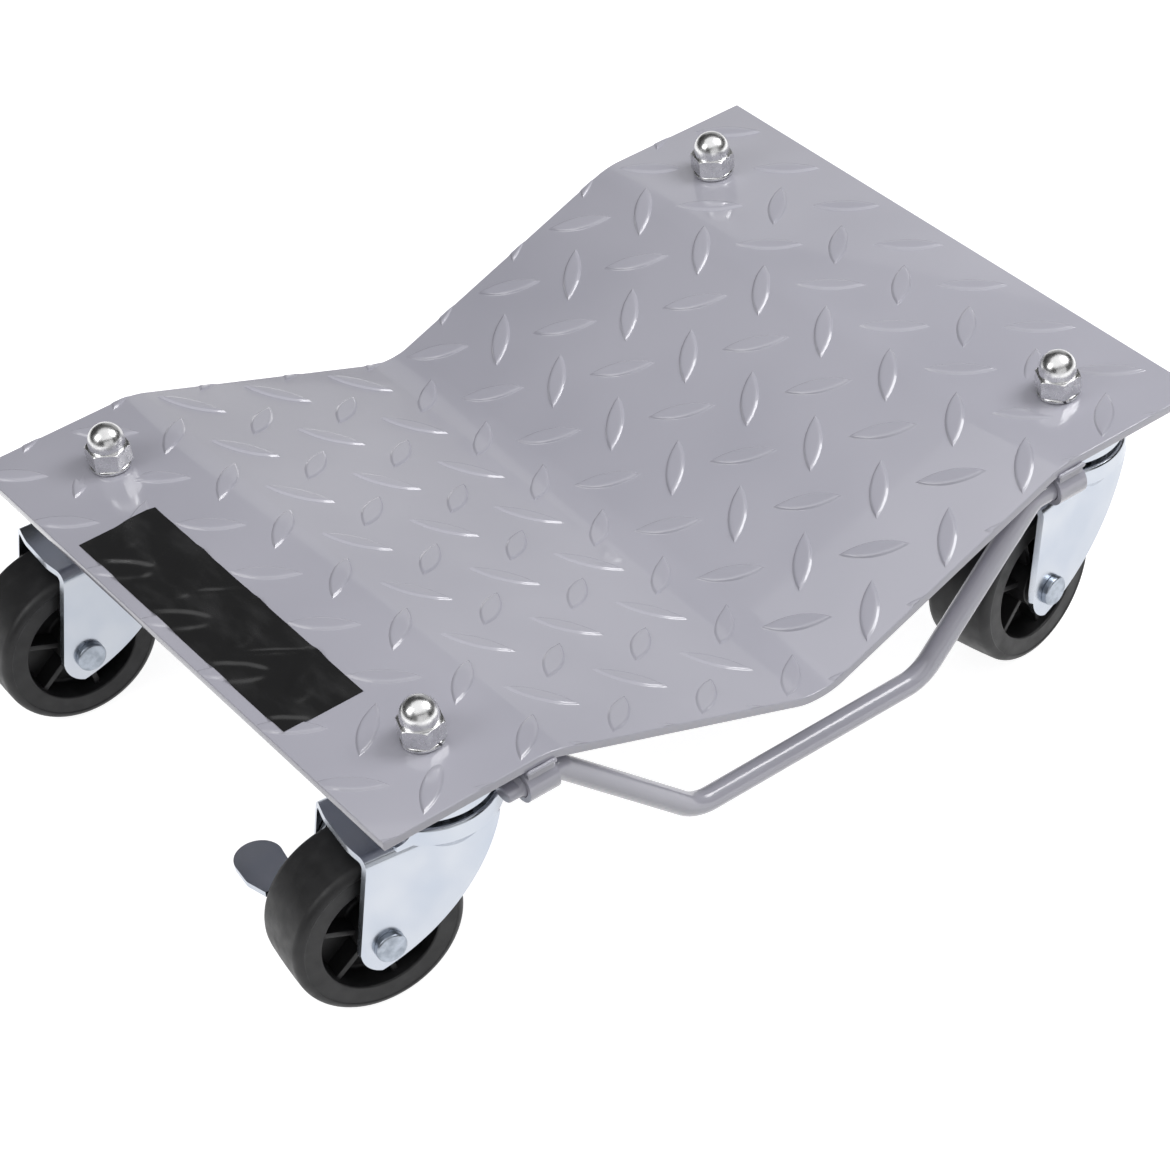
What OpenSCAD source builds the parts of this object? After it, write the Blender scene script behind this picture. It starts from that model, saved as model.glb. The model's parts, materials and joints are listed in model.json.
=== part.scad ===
// Low tyre dolly: a folded tread plate on four swivel casters, with a swinging wire bail.
// Millimetres. Floor at z = 0, origin below the middle of the whole part's box, +X along the deck,
// -Y towards the long side that carries the bail, +Z up. Modules are drawn from the deck's middle.

/* [Deck] */
// Length over both end flats
deck_l = 406; // [396:1:416]
// Width across the deck
deck_w = 305; // [300:1:310]
// Length of each end flat, up to the fold line
flat_l = 76; // [72:1:80]
// Depth of the valley below the flats
valley_drop = 47; // [42:1:48]
// Thickness of the plate
plate_t = 4; // [3.5:0.5:4.5]
// Radius of the top skin in the valley
valley_r = 28; // [20:1:34]
// Radius of the top skin at the two upper folds
ridge_r = 35; // [25:1:45]
// Height of the raised tread lozenges
lozenge_h = 1.2; // [0.8:0.1:1.5]
// Length of a tread lozenge
lozenge_l = 29; // [26:0.5:30]
// Width of a tread lozenge
lozenge_w = 7.5; // [6:0.5:8]
// Spacing of the tread pattern along the plate
tread_pitch_x = 44; // [43:0.5:46]
// Spacing of the tread pattern across the plate
tread_pitch_y = 42.4; // [42:0.2:44]

/* [Stems and nuts] */
// Distance of each caster stem from the deck's end
stem_in_x = 43.5; // [41:0.5:46]
// Distance of each caster stem from the deck's long side
stem_in_y = 37.5; // [35.5:0.5:40]
// Diameter of the stem's thread
stem_d = 10; // [9:0.5:10]
// Width of the cap nut across its flats
nut_af = 17; // [16:0.5:18]
// Height of the nut's hexagon
nut_hex_h = 8; // [7:0.5:9]
// Diameter of the nut's dome
dome_d = 15.8; // [14:0.2:15.8]
// Outer diameter of the spring washer
washer_d = 18; // [17:0.2:19]
// Thickness of the spring washer
washer_t = 2.4; // [2:0.1:2.8]

/* [Casters] */
// Diameter of the wheel
wheel_d = 73; // [71:0.5:74]
// Width of the wheel across its tyre
wheel_w = 32; // [30:0.5:33]
// Distance from the stem's axis back to the axle
trail = 34.5; // [33:0.5:36]
// Height of the deck's top above the axles
axle_drop = 71; // [70.5:0.5:72]
// Outside width of the fork
fork_w = 44; // [43.5:0.5:45]
// Thickness of the fork's sheet
fork_t = 2.5; // [2:0.1:2.6]
// Diameter of the axle
axle_d = 8; // [7:0.5:9]
// Diameter of the axle's heads
axle_head_d = 13; // [12:0.5:14]
// Diameter of the balls in the upper row
ball_d = 6; // [5.6:0.1:6]
// Number of balls in the upper row
ball_n = 18; // [12:1:18]
// Turn of the caster at the left end on the near side, in degrees
turn_left_near = -7.7; // [-180:0.1:180]
// Turn of the caster at the left end on the far side, in degrees
turn_left_far = -3.8; // [-180:0.1:180]
// Turn of the caster at the right end on the near side, in degrees
turn_right_near = 10.9; // [-180:0.1:180]
// Turn of the caster at the right end on the far side, in degrees
turn_right_far = 5; // [-180:0.1:180]

/* [Brake] */
// Thickness of the brake lever's sheet
lever_t = 2.5; // [2:0.1:2.5]
// Width of the pedal across its rounded end
pedal_w = 19.6; // [17:0.2:19.6]
// Gap between the shoe and the tyre when the brake is off
shoe_gap = 2; // [1.9:0.1:2.4]

/* [Bail] */
// Diameter of the bail's round bar
bar_d = 10; // [9:0.5:10]
// Depth from the bail's hinge axis to its lower bar
bail_drop = 59.5; // [56:0.5:61]
// Distance of the bail's two upper bends inside the deck's fold lines
bail_bend_in = 7.75; // [7.5:0.25:9]
// Length of the bail's lower bar between the bend points
bail_foot = 116; // [112:1:120]
// Outer diameter of the two barrels that carry the bail
barrel_d = 15; // [14:0.5:15]
// Length of each barrel
barrel_l = 14; // [12:0.5:15]

/* [Hidden] */
$fn = 64;

running = 0.05;          // radial clearance of a running fit
apart = 0.3;             // smallest gap between two bodies that pass each other
far_out = 400;           // reach of a cutting block, past every edge of the part

// heights above the floor
wheel_r = wheel_d / 2;
axle_z = wheel_r;
deck_top = axle_z + axle_drop;
deck_under = deck_top - plate_t;

// deck
ridge_x = deck_l / 2 - flat_l;
slope = atan(valley_drop / ridge_x);
stem_x = deck_l / 2 - stem_in_x;
stem_y = deck_w / 2 - stem_in_y;
stem_bore = stem_d + 1;
tread_clear = 15;        // radius round each bolt where the tread is pressed flat
tread_root = 0.6;        // how far the tread layer reaches into the plate
lozenge_taper = 1.0;     // how much a lozenge's side leans in over its height
lean_x = -4.5;           // first lozenge of the left-leaning set, along and across
lean_y = 73.2;
level_x = 17.5;          // first lozenge of the right-leaning set
level_y = 52;

// swivel head, from the deck downwards
collar_d = 20;
collar_t = 3;
cap_r = 27;
cap_drop = 11;
cap_t = 2;
ring_gap = 2.5;
ring_r = 28;
ring_rise = 5.5;
cap_top = deck_under - collar_t;
cap_rim = cap_top - cap_drop;
ring_top = cap_rim - ring_gap;
crown_top = ring_top - ring_rise;
crown_under = crown_top - fork_t;
seat_under = ring_top - 5;
ball_r = ball_d / 2;
ball_ring_r = 20;
ball_z = ring_top + 1;
small_ball_r = 2;
small_ring_r = 11;
small_n = 12;
small_z = seat_under - 1.8;
washer_top = small_z - small_ball_r + 0.2;
lower_race_t = 2.4;
stem_foot = washer_top - lower_race_t;
rivet_h = 2.5;
stem_hole_r = stem_d / 2 + 1;
nut_neck = 2.1;          // straight part of the nut's dome above its hexagon
race_r = 14;             // radius of the lower race

// fork
leg_out = fork_w / 2;
leg_in = leg_out - fork_t;
nose_r = 28.7;
fold_r = 5;
crown_tail = 39.4;
foot_r = 12;
tail_lean = atan(8.6 / (crown_top - axle_z));
tail_bow = 86;
leg_front_r = 75.4;      // radius of a leg's leading edge, round a point behind and above the axle
leg_front_x = trail + 20;
leg_front_z = axle_z + 62.5;
leg_block = 32;          // reach of the block that a leg's outline is cut from, ahead of the stem
flare_drop = 10;

// wheel
tyre_edge_r = 4.2;
recess_r = 25;
web_t = 7;
rib_n = 6;
rib_t = 3;
rib_inset = 4;
hub_r = 10;
hub_half = wheel_w / 2;
sleeve_d = axle_d + 4;
head_t = 3;

// brake, in the caster's own frame: x back along the trail, y across, z up
// the lever turns between the wheel and the leg, on a rivet with a sunk head
pivot_x = trail - 18.5;
pivot_z = axle_z + 25.5;
pivot_d = 5;
pivot_head_d = 10;
sunk_head_d = 8;
sunk_head_t = 1.1;
eye_r = 8;
lever_in = wheel_w / 2 + 0.5;
lever_out = lever_in + lever_t;
pedal_z = axle_z + 11.5;
pedal_top = pedal_z + lever_t;
pedal_x = trail + 26.3;
pedal_y = -leg_out - 13.6;
pedal_front = trail + 16.3;  // where the pedal's neck starts and ends, back from the stem
pedal_back = trail + 32.3;
shoe_turn = 98;          // place of the shoe round the axle, from straight back
shoe_l = 10;
shoe_w = 13;

// bail
bail_y = deck_w / 2 - 5.5;
bail_z = deck_under - 9.7;
bail_mid_x = -3.25;
bail_span = 2 * (ridge_x - bail_bend_in);
top_bend_r = 8;
foot_bend_r = 12;
barrel_x = ridge_x + 5.5;
rod_tip = 8;
rod_short = 1;           // how far the right end of the bar stays inside its barrel
rod_flat = 6;            // thickness of the pressed left end of the bar
bail_leg_turn = atan(bail_drop / ((bail_span - bail_foot) / 2));

// middle of the whole part's outer box, seen from the middle of the deck
function tail_reach(turn) = (trail + wheel_r - tyre_edge_r) * cos(turn)
    + (wheel_w / 2 - tyre_edge_r) * abs(sin(turn)) + tyre_edge_r;
low_x = -stem_x - max(tail_reach(turn_left_near), tail_reach(turn_left_far));
high_y = stem_y - pedal_x * sin(turn_right_far) - pedal_y * cos(turn_right_far) + pedal_w / 2;
box_mid = [(deck_l / 2 + low_x) / 2, (high_y - bail_y - barrel_d / 2) / 2, 0];

// plane shapes with rounded corners
function unit(v) = v / norm(v);
function turn_of(a, b, c) = (b.x - a.x) * (c.y - b.y) - (b.y - a.y) * (c.x - b.x);

// the sliver between a sharp corner b and the arc of radius r that rounds it, run on past the corner
module corner_sliver(a, b, c, r) {
    back = unit(a - b);
    on = unit(c - b);
    half = acos(back * on) / 2;
    reach = r / tan(half);
    inward = unit(back + on);
    difference() {
        polygon([b - inward * min(reach, 1), b + back * reach, b + inward * r / sin(half), b + on * reach]);
        translate(b + inward * r / sin(half)) circle(r);
    }
}

// polygon p, drawn clockwise, with corner k rounded to radius r[k] where r[k] > 0
module soft_poly(p, r) {
    n = len(p);
    difference() {
        union() {
            polygon(p);
            for (k = [0 : n - 1]) if (r[k] > 0 && turn_of(p[(k + n - 1) % n], p[k], p[(k + 1) % n]) > 0)
                corner_sliver(p[(k + n - 1) % n], p[k], p[(k + 1) % n], r[k]);
        }
        for (k = [0 : n - 1]) if (r[k] > 0 && turn_of(p[(k + n - 1) % n], p[k], p[(k + 1) % n]) < 0)
            corner_sliver(p[(k + n - 1) % n], p[k], p[(k + 1) % n], r[k]);
    }
}

// a solid that runs along Y from y0 to y1, its outline drawn in X and Z
module along_y(y0, y1) {
    translate([0, y1, 0]) rotate([90, 0, 0]) linear_extrude(y1 - y0) children();
}

// deck
// everything below the plate's top skin when that skin is lifted by h
module under_skin(h) {
    fold_x = ridge_x - h * tan(slope / 2);
    low_z = deck_top - valley_drop + h / cos(slope);
    soft_poly([[-deck_l / 2, 0], [-deck_l / 2, deck_top + h], [-fold_x, deck_top + h], [0, low_z],
        [fold_x, deck_top + h], [deck_l / 2, deck_top + h], [deck_l / 2, 0]],
        [0, 0, ridge_r + h, valley_r - h, ridge_r + h, 0, 0]);
}

module skin_layer(low, high) {
    along_y(-deck_w / 2, deck_w / 2) difference() {
        under_skin(high);
        under_skin(low);
    }
}

// place children at developed length s from the valley, standing square to the plate
module on_skin(s) {
    slope_l = ridge_x / cos(slope);
    d = min(abs(s), slope_l);
    side = s < 0 ? -1 : 1;
    on_flat = abs(s) > slope_l;
    x = side * (on_flat ? ridge_x + abs(s) - slope_l : d * cos(slope));
    z = deck_top - valley_drop + d * sin(slope);
    lean = on_flat ? 0 : -side * slope;
    translate([x, 0, z]) rotate([0, lean, 0]) children();
}

// a pointed lozenge with leaning sides, as the overlap of two wide cones
module lozenge(turn) {
    side_r = (lozenge_l * lozenge_l / 4 + lozenge_w * lozenge_w / 4) / lozenge_w;
    reach = side_r - lozenge_w / 2;
    h = lozenge_h + 2 * tread_root;
    rotate([0, 0, turn]) intersection() {
        translate([0, reach, -h / 2]) cylinder(r1 = side_r + lozenge_taper / 2, r2 = side_r - lozenge_taper, h = h + 1);
        translate([0, -reach, -h / 2]) cylinder(r1 = side_r + lozenge_taper / 2, r2 = side_r - lozenge_taper, h = h + 1);
    }
}

module deck_plate() {
    color([0.69, 0.69, 0.74]) difference() {
        union() {
            skin_layer(-plate_t, 0);
            tread();
        }
        for (sx = [-1, 1], sy = [-1, 1]) translate([sx * stem_x, sy * stem_y, deck_under - 1])
            cylinder(d = stem_bore, h = plate_t + 2 + lozenge_h);
    }
}

module tread() {
    difference() {
        intersection() {
            skin_layer(-tread_root, lozenge_h);
            union() {
                for (i = [-4 : 4], j = [-5 : 2]) on_skin(lean_x + i * tread_pitch_x)
                    translate([0, lean_y + j * tread_pitch_y, 0]) lozenge(44);
                for (i = [-5 : 4], j = [-5 : 2]) on_skin(level_x + i * tread_pitch_x)
                    translate([0, level_y + j * tread_pitch_y, 0]) lozenge(-44);
            }
        }
        for (sx = [-1, 1], sy = [-1, 1]) translate([sx * stem_x, sy * stem_y, deck_top])
            cylinder(r = tread_clear, h = lozenge_h + 1);
    }
}

// caster places
turns = [turn_left_near, turn_left_far, turn_right_near, turn_right_far];
places = [[-1, -1], [-1, 1], [1, -1], [1, 1]];

// moves the part from the deck's middle to the middle of its own box
module centred() {
    translate(-box_mid) children();
}

module at_caster(k) {
    translate([places[k].x * stem_x, places[k].y * stem_y, 0]) rotate([0, 0, 180 + turns[k]]) children();
}

module at_axle() {
    translate([trail, 0, axle_z]) rotate([90, 0, 0]) children();
}

// nuts, washers and stems
module cap_nut() {
    across = nut_af / sqrt(3);
    bore_deep = nut_hex_h + 3;
    difference() {
        union() {
            intersection() {
                linear_extrude(nut_hex_h) polygon([for (k = [0 : 5]) across * [cos(60 * k), sin(60 * k)]]);
                cylinder(r1 = across + nut_hex_h * 1.6 - 0.6, r2 = across - 0.9, h = nut_hex_h);
            }
            cylinder(d = dome_d, h = nut_hex_h + nut_neck);
            translate([0, 0, nut_hex_h + nut_neck]) sphere(d = dome_d);
        }
        translate([0, 0, -1]) cylinder(r = stem_d / 2 + running, h = bore_deep + 1);
    }
}

module cap_nuts() {
    turned = [11, 24, 4, 17];
    color([0.86, 0.86, 0.88]) for (k = [0 : 3])
        translate([places[k].x * stem_x, places[k].y * stem_y, deck_top + washer_t]) rotate([0, 0, turned[k]]) cap_nut();
}

module spring_washer() {
    ring = (washer_d - stem_d - 0.6) / 2;
    difference() {
        rotate_extrude() translate([stem_d / 2 + 0.3, 0])
            soft_poly([[0, 0], [0, washer_t], [ring, washer_t], [ring, 0]], [0.5, 0.5, 1.2, 1.2]);
        rotate([25, 0, 0]) translate([0, -0.6, -washer_t]) cube([washer_d, 1.2, 3 * washer_t]);
    }
}

module spring_washers() {
    split = [-70, 160, -110, 40];
    color([0.8, 0.8, 0.83]) for (k = [0 : 3])
        translate([places[k].x * stem_x, places[k].y * stem_y, deck_top]) rotate([0, 0, split[k]]) spring_washer();
}

module caster_stem() {
    top = deck_top + washer_t + nut_hex_h;
    translate([0, 0, stem_foot]) cylinder(d = stem_d, h = top - stem_foot);
    translate([0, 0, cap_top]) cylinder(d = collar_d, h = collar_t);
    translate([0, 0, stem_foot - rivet_h]) cylinder(r1 = 6, r2 = 8.5, h = rivet_h);
}

module caster_stems() {
    color([0.72, 0.74, 0.78]) for (p = places) translate([p.x * stem_x, p.y * stem_y, 0]) caster_stem();
}

// swivel head
module upper_race() {
    bore = stem_d / 2 + running;
    under = ball_z + ball_r + running;
    color([0.82, 0.84, 0.88]) rotate_extrude() soft_poly(
        [[bore, cap_top - cap_t], [bore, cap_top], [12, cap_top], [cap_r, under + 3.2], [cap_r, cap_rim],
        [cap_r - 1.8, cap_rim], [cap_r - 1.8, under], [15, under], [11, cap_top - cap_t]],
        [0, 0, 4, 2.2, 0, 0, 0, 0, 0]);
}

module lower_race() {
    bore = stem_d / 2 + running;
    color([0.7, 0.72, 0.76]) difference() {
        translate([0, 0, stem_foot]) cylinder(r = race_r, h = lower_race_t);
        translate([0, 0, stem_foot - 1]) cylinder(r = bore, h = lower_race_t + 2);
        ball_groove(small_ring_r, small_ball_r, small_z);
    }
}

module ball_groove(ring, r, z) {
    translate([0, 0, z]) rotate_extrude() translate([ring, 0]) circle(r + running);
}

module ball_row(n, ring, r, z) {
    color([0.75, 0.75, 0.77]) for (k = [1 : n]) rotate([0, 0, 360 / n * k]) translate([ring, 0, z]) sphere(r);
}

// fork
// side outline of a leg, in the caster's frame
module leg_side() {
    tail_foot = trail + foot_r * cos(tail_lean);
    intersection() {
        polygon([[-leg_block, 0], [-leg_block, crown_top + 1], [crown_tail + 1, crown_top + 1],
            [tail_foot + 6, 0]]);
        union() {
            translate([trail, axle_z]) circle(foot_r);
            translate([-leg_block, axle_z]) square([trail + leg_block + 2 * foot_r, far_out]);
            polygon([[-leg_block, axle_z], [trail, axle_z + foot_r], [trail - foot_r * 0.76, axle_z - foot_r * 0.65],
                [trail - 2.5 * foot_r, axle_z - foot_r * 0.65]]);
        }
        translate([leg_front_x, leg_front_z]) circle(leg_front_r);
    }
}

// cross-section of the folded channel, with its inside when inner is true
module channel_section(inner) {
    cut = inner ? fork_t : 0;
    w = leg_out - cut;
    soft_poly([[-w, 0], [-w, crown_top - cut], [w, crown_top - cut], [w, 0]], [0, fold_r - cut, fold_r - cut, 0]);
}

module along_x(x0, x1) {
    translate([x0, 0, 0]) rotate([90, 0, 90]) linear_extrude(x1 - x0) children();
}

// raised ball seat, its shoulder and the wall that joins the folded channel
module crown_ring() {
    rotate_extrude() difference() {
        soft_poly([[stem_hole_r, seat_under], [stem_hole_r, ring_top], [ring_r, ring_top], [ring_r, crown_under],
            [ring_r - fork_t, crown_under], [ring_r - fork_t, seat_under]], [0, 0, 1.8, 0, 0, 0]);
        translate([ball_ring_r, ball_z]) circle(ball_r + running);
        translate([small_ring_r, small_z]) circle(small_ball_r + running);
    }
}

// sweep from the crown up to the ring
module crown_sweep() {
    r = ring_rise - 0.5;
    intersection() {
        rotate_extrude() difference() {
            translate([ring_r - fork_t, crown_under]) square([fork_t + r, fork_t + r]);
            translate([ring_r + r, crown_top + r]) circle(r);
        }
        along_x(0, 60) polygon([[-leg_out, 0], [-leg_out + 4, far_out], [leg_out - 4, far_out], [leg_out, 0]]);
    }
}

// flare under the ring, where each leg widens to meet it
module crown_flare() {
    drop = flare_drop;
    difference() {
        intersection() {
            translate([0, 0, crown_top - drop]) cylinder(r1 = leg_out, r2 = ring_r, h = drop);
            translate([-far_out / 2, -far_out / 2, 0]) cube([far_out / 2 + 12, far_out, far_out]);
        }
        translate([0, 0, crown_top - drop - 0.01]) cylinder(r1 = leg_in, r2 = ring_r - fork_t, h = drop + 0.02);
        along_x(-far_out, far_out) translate([-leg_in, 0]) square([2 * leg_in, crown_under]);
    }
}

module channel() {
    intersection() {
        difference() {
            along_x(-40, 60) channel_section(false);
            along_x(-50, 70) channel_section(true);
        }
        along_y(-far_out, far_out) leg_side();
        union() {
            cylinder(r = nose_r, h = far_out);
            translate([0, -far_out / 2, 0]) cube([far_out, far_out, far_out]);
        }
        translate([crown_tail - tail_bow, 0, crown_top]) rotate([0, -tail_lean, 0])
            translate([0, 0, -far_out]) cylinder(r = tail_bow, h = 2 * far_out, $fn = 256);
    }
}

module fork(k) {
    braked = k == 0 || k == 3;
    color([0.8, 0.83, 0.88]) at_caster(k) difference() {
        union() {
            difference() {
                channel();
                translate([0, 0, crown_under - 1]) cylinder(r = ring_r - fork_t, h = far_out);
            }
            crown_ring();
            crown_sweep();
            crown_flare();
        }
        at_axle() translate([0, 0, -leg_out - 1]) cylinder(r = axle_d / 2 + running, h = fork_w + 2);
        if (braked) translate([pivot_x, 0, pivot_z]) rotate([90, 0, 0]) cylinder(r = pivot_d / 2 + running, h = fork_w);
    }
}

// axle and wheel
module axle(k) {
    color([0.78, 0.8, 0.84]) at_caster(k) at_axle() {
        translate([0, 0, -leg_out]) cylinder(d = axle_d, h = fork_w);
        for (side = [0, 1]) mirror([0, 0, side]) translate([0, 0, leg_out]) rotate_extrude()
            soft_poly([[0, 0], [0, head_t], [axle_head_d / 2, head_t], [axle_head_d / 2, 0]], [0, 0, 1, 0]);
    }
}

module axle_sleeve(k) {
    color([0.6, 0.62, 0.65]) at_caster(k) at_axle() difference() {
        translate([0, 0, -leg_in]) cylinder(d = sleeve_d, h = 2 * leg_in);
        translate([0, 0, -leg_in - 1]) cylinder(r = axle_d / 2 + running, h = 2 * leg_in + 2);
    }
}

module wheel(k) {
    half = wheel_w / 2;
    rib_half = half - rib_inset;
    color([0.16, 0.16, 0.17]) at_caster(k) at_axle() difference() {
        union() {
            rotate_extrude() {
                soft_poly([[recess_r, -half], [recess_r, half], [wheel_r, half], [wheel_r, -half]],
                    [1, 1, tyre_edge_r, tyre_edge_r]);
                translate([hub_r - 1, -web_t / 2]) square([recess_r - hub_r + 2, web_t]);
                translate([1, -hub_half]) square([hub_r - 1, 2 * hub_half]);
            }
            for (n = [0 : rib_n - 1]) rotate([0, 0, 360 / rib_n * n + 20])
                translate([hub_r - 1, -rib_t / 2, -rib_half]) cube([recess_r - hub_r + 2, rib_t, 2 * rib_half]);
        }
        translate([0, 0, -half - 10]) cylinder(r = sleeve_d / 2 + running, h = wheel_w + 20);
    }
}

// brake
// side plate of the lever: an eye round the rivet, a lug up to the shoe and an arm back to the pedal
module lever_plate() {
    lug_z = axle_z + 40;
    along_y(-lever_out, -lever_in) difference() {
        union() {
            translate([pivot_x, pivot_z]) circle(eye_r);
            soft_poly([[pivot_x - eye_r / 2, pivot_z + eye_r * 0.86], [trail - 10, lug_z], [trail - 0.5, lug_z],
                [trail + 5.5, axle_z + 31], [pedal_front - 1, pedal_top], [pedal_back, pedal_top],
                [pedal_back - 2, pedal_z - 7], [trail + 16, pedal_z - 5], [trail + 8, pedal_z + 3],
                [pivot_x, pivot_z - eye_r]],
                [0, 4, 3, 6, 6, 0, 4, 8, 10, 0]);
        }
        translate([pivot_x, pivot_z]) circle(pivot_d / 2 + running);
    }
}

// pedal: a round-ended tongue, folded out from the top of the arm
module pedal() {
    r = pedal_w / 2;
    translate([0, 0, pedal_z]) linear_extrude(lever_t) {
        translate([pedal_x, pedal_y]) circle(r);
        soft_poly([[pedal_front, -lever_in], [pedal_back, -lever_in], [pedal_x + r - 0.2, pedal_y + r],
            [pedal_x + r, pedal_y], [pedal_x - r, pedal_y], [pedal_x - r + 0.4, pedal_y + r * 0.7]],
            [0, 0, 6, 0, 0, 8]);
    }
}

// shoe: a tab folded in over the tyre, under the crown
module shoe() {
    reach = wheel_r + shoe_gap;
    translate([trail, 0, axle_z]) rotate([0, -shoe_turn, 0])
        translate([reach, -lever_out + 0.8, -shoe_l / 2]) cube([lever_t, shoe_w, shoe_l]);
}

module brake_lever(k) {
    sunk = sunk_head_t + 0.2;
    color([0.8, 0.83, 0.88]) at_caster(k) difference() {
        union() {
            lever_plate();
            pedal();
            shoe();
        }
        translate([pivot_x, -lever_in, pivot_z]) rotate([90, 0, 0])
            translate([0, 0, -1]) cylinder(r = sunk_head_d / 2 + running, h = sunk + 1);
    }
}

module brake_pivot(k) {
    head_t = 2;
    sunk_at = lever_in + 0.15;
    color([0.78, 0.8, 0.84]) at_caster(k) translate([pivot_x, 0, pivot_z]) rotate([90, 0, 0]) {
        translate([0, 0, sunk_at]) cylinder(d = sunk_head_d, h = sunk_head_t);
        translate([0, 0, sunk_at]) cylinder(d = pivot_d, h = leg_out - sunk_at + head_t);
        translate([0, 0, leg_out]) cylinder(d1 = pivot_head_d, d2 = pivot_head_d - 3, h = head_t);
    }
}

// bail and its barrels
module barrel(side) {
    weld_out = barrel_d / 2 - 2;
    weld_in = barrel_d / 2 + 1;
    color([0.69, 0.69, 0.74]) difference() {
        translate([side * barrel_x - barrel_l / 2, -bail_y, bail_z]) {
            along_x(0, barrel_l) circle(d = barrel_d);
            along_x(1, barrel_l - 1) polygon([[-weld_out, 0], [-weld_out, deck_top - bail_z],
                [weld_in, deck_top - bail_z], [weld_in - 1.5, 0]]);
        }
        translate([-far_out, -bail_y, bail_z]) along_x(0, 2 * far_out) circle(r = bar_d / 2 + apart);
        along_y(-bail_y - barrel_d, -bail_y + barrel_d) difference() {
            translate([-deck_l / 2, 0]) square([deck_l, far_out]);
            under_skin(-plate_t - running);
        }
    }
}

// a straight run of bar, then its children at the run's end; its core runs on into the bends
module straight(l) {
    rotate([0, 90, 0]) cylinder(d = bar_d, h = l);
    translate([-1, 0, 0]) rotate([0, 90, 0]) cylinder(d = bar_d - 1, h = l + 2);
    translate([l, 0, 0]) children();
}

// a bend of the bar in X and Z, rising when turn > 0, then its children at the bend's end
module elbow(turn, r) {
    up = turn > 0 ? 1 : -1;
    translate([0, 0, up * r]) {
        rotate([90, 0, 0]) rotate([0, 0, up > 0 ? -90 : 90 - abs(turn)])
            rotate_extrude(angle = abs(turn)) translate([r, 0]) circle(d = bar_d);
        rotate([0, -turn, 0]) translate([0, 0, -up * r]) children();
    }
}

module bail_handle() {
    a = bail_leg_turn;
    top_take = top_bend_r * tan(a / 2);
    foot_take = foot_bend_r * tan(a / 2);
    leg = bail_drop / sin(a) - top_take - foot_take;
    left_end = barrel_x + barrel_l / 2 + rod_tip;
    left_run = left_end - bail_span / 2 + bail_mid_x - top_take;
    right_end = barrel_x + barrel_l / 2 - rod_short;
    right_run = right_end - bail_span / 2 - bail_mid_x - top_take;
    color([0.69, 0.69, 0.74]) translate([-left_end, -bail_y, bail_z]) difference() {
        straight(left_run) elbow(-a, top_bend_r) straight(leg) elbow(a, foot_bend_r)
            straight(bail_foot - 2 * foot_take) elbow(a, foot_bend_r) straight(leg)
            elbow(-a, top_bend_r) straight(right_run);
        for (side = [0, 1]) mirror([0, 0, side]) translate([-2, -bar_d, rod_flat / 2]) cube([rod_tip, 2 * bar_d, bar_d]);
        translate([-2, -bar_d, -bar_d]) cube([2, 2 * bar_d, 2 * bar_d]);
        translate([left_end + right_end, -bar_d, -bar_d]) cube([2, 2 * bar_d, 2 * bar_d]);
    }
}

centred() deck_plate();
centred() barrel(-1);  // bail_barrel_left
centred() barrel(1);  // bail_barrel_right
centred() cap_nuts();
centred() spring_washers();
centred() caster_stems();
centred() at_caster(0) upper_race();  // upper_race_left_near
centred() at_caster(1) upper_race();  // upper_race_left_far
centred() at_caster(2) upper_race();  // upper_race_right_near
centred() at_caster(3) upper_race();  // upper_race_right_far
centred() at_caster(0) lower_race();  // lower_race_left_near
centred() at_caster(1) lower_race();  // lower_race_left_far
centred() at_caster(2) lower_race();  // lower_race_right_near
centred() at_caster(3) lower_race();  // lower_race_right_far
centred() fork(0);  // fork_left_near
centred() fork(1);  // fork_left_far
centred() fork(2);  // fork_right_near
centred() fork(3);  // fork_right_far
centred() at_caster(0) ball_row(ball_n, ball_ring_r, ball_r, ball_z);  // upper_balls_left_near
centred() at_caster(1) ball_row(ball_n, ball_ring_r, ball_r, ball_z);  // upper_balls_left_far
centred() at_caster(2) ball_row(ball_n, ball_ring_r, ball_r, ball_z);  // upper_balls_right_near
centred() at_caster(3) ball_row(ball_n, ball_ring_r, ball_r, ball_z);  // upper_balls_right_far
centred() at_caster(0) ball_row(small_n, small_ring_r, small_ball_r, small_z);  // lower_balls_left_near
centred() at_caster(1) ball_row(small_n, small_ring_r, small_ball_r, small_z);  // lower_balls_left_far
centred() at_caster(2) ball_row(small_n, small_ring_r, small_ball_r, small_z);  // lower_balls_right_near
centred() at_caster(3) ball_row(small_n, small_ring_r, small_ball_r, small_z);  // lower_balls_right_far
centred() axle(0);  // axle_left_near
centred() axle(1);  // axle_left_far
centred() axle(2);  // axle_right_near
centred() axle(3);  // axle_right_far
centred() axle_sleeve(0);  // axle_sleeve_left_near
centred() axle_sleeve(1);  // axle_sleeve_left_far
centred() axle_sleeve(2);  // axle_sleeve_right_near
centred() axle_sleeve(3);  // axle_sleeve_right_far
centred() wheel(0);  // wheel_left_near
centred() wheel(1);  // wheel_left_far
centred() wheel(2);  // wheel_right_near
centred() wheel(3);  // wheel_right_far
centred() brake_lever(0);  // brake_lever_left_near
centred() brake_lever(3);  // brake_lever_right_far
centred() brake_pivot(0);  // brake_pivot_left_near
centred() brake_pivot(3);  // brake_pivot_right_far
centred() bail_handle();
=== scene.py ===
"""Looks of a low tyre dolly: painted tread plate, plated swivel casters, moulded wheels and a wire bail."""

import json
import logging
import math
from dataclasses import dataclass, field
from enum import Enum

import bmesh
import bpy
from mathutils import Matrix, Vector, noise
from mathutils.bvhtree import BVHTree


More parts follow.
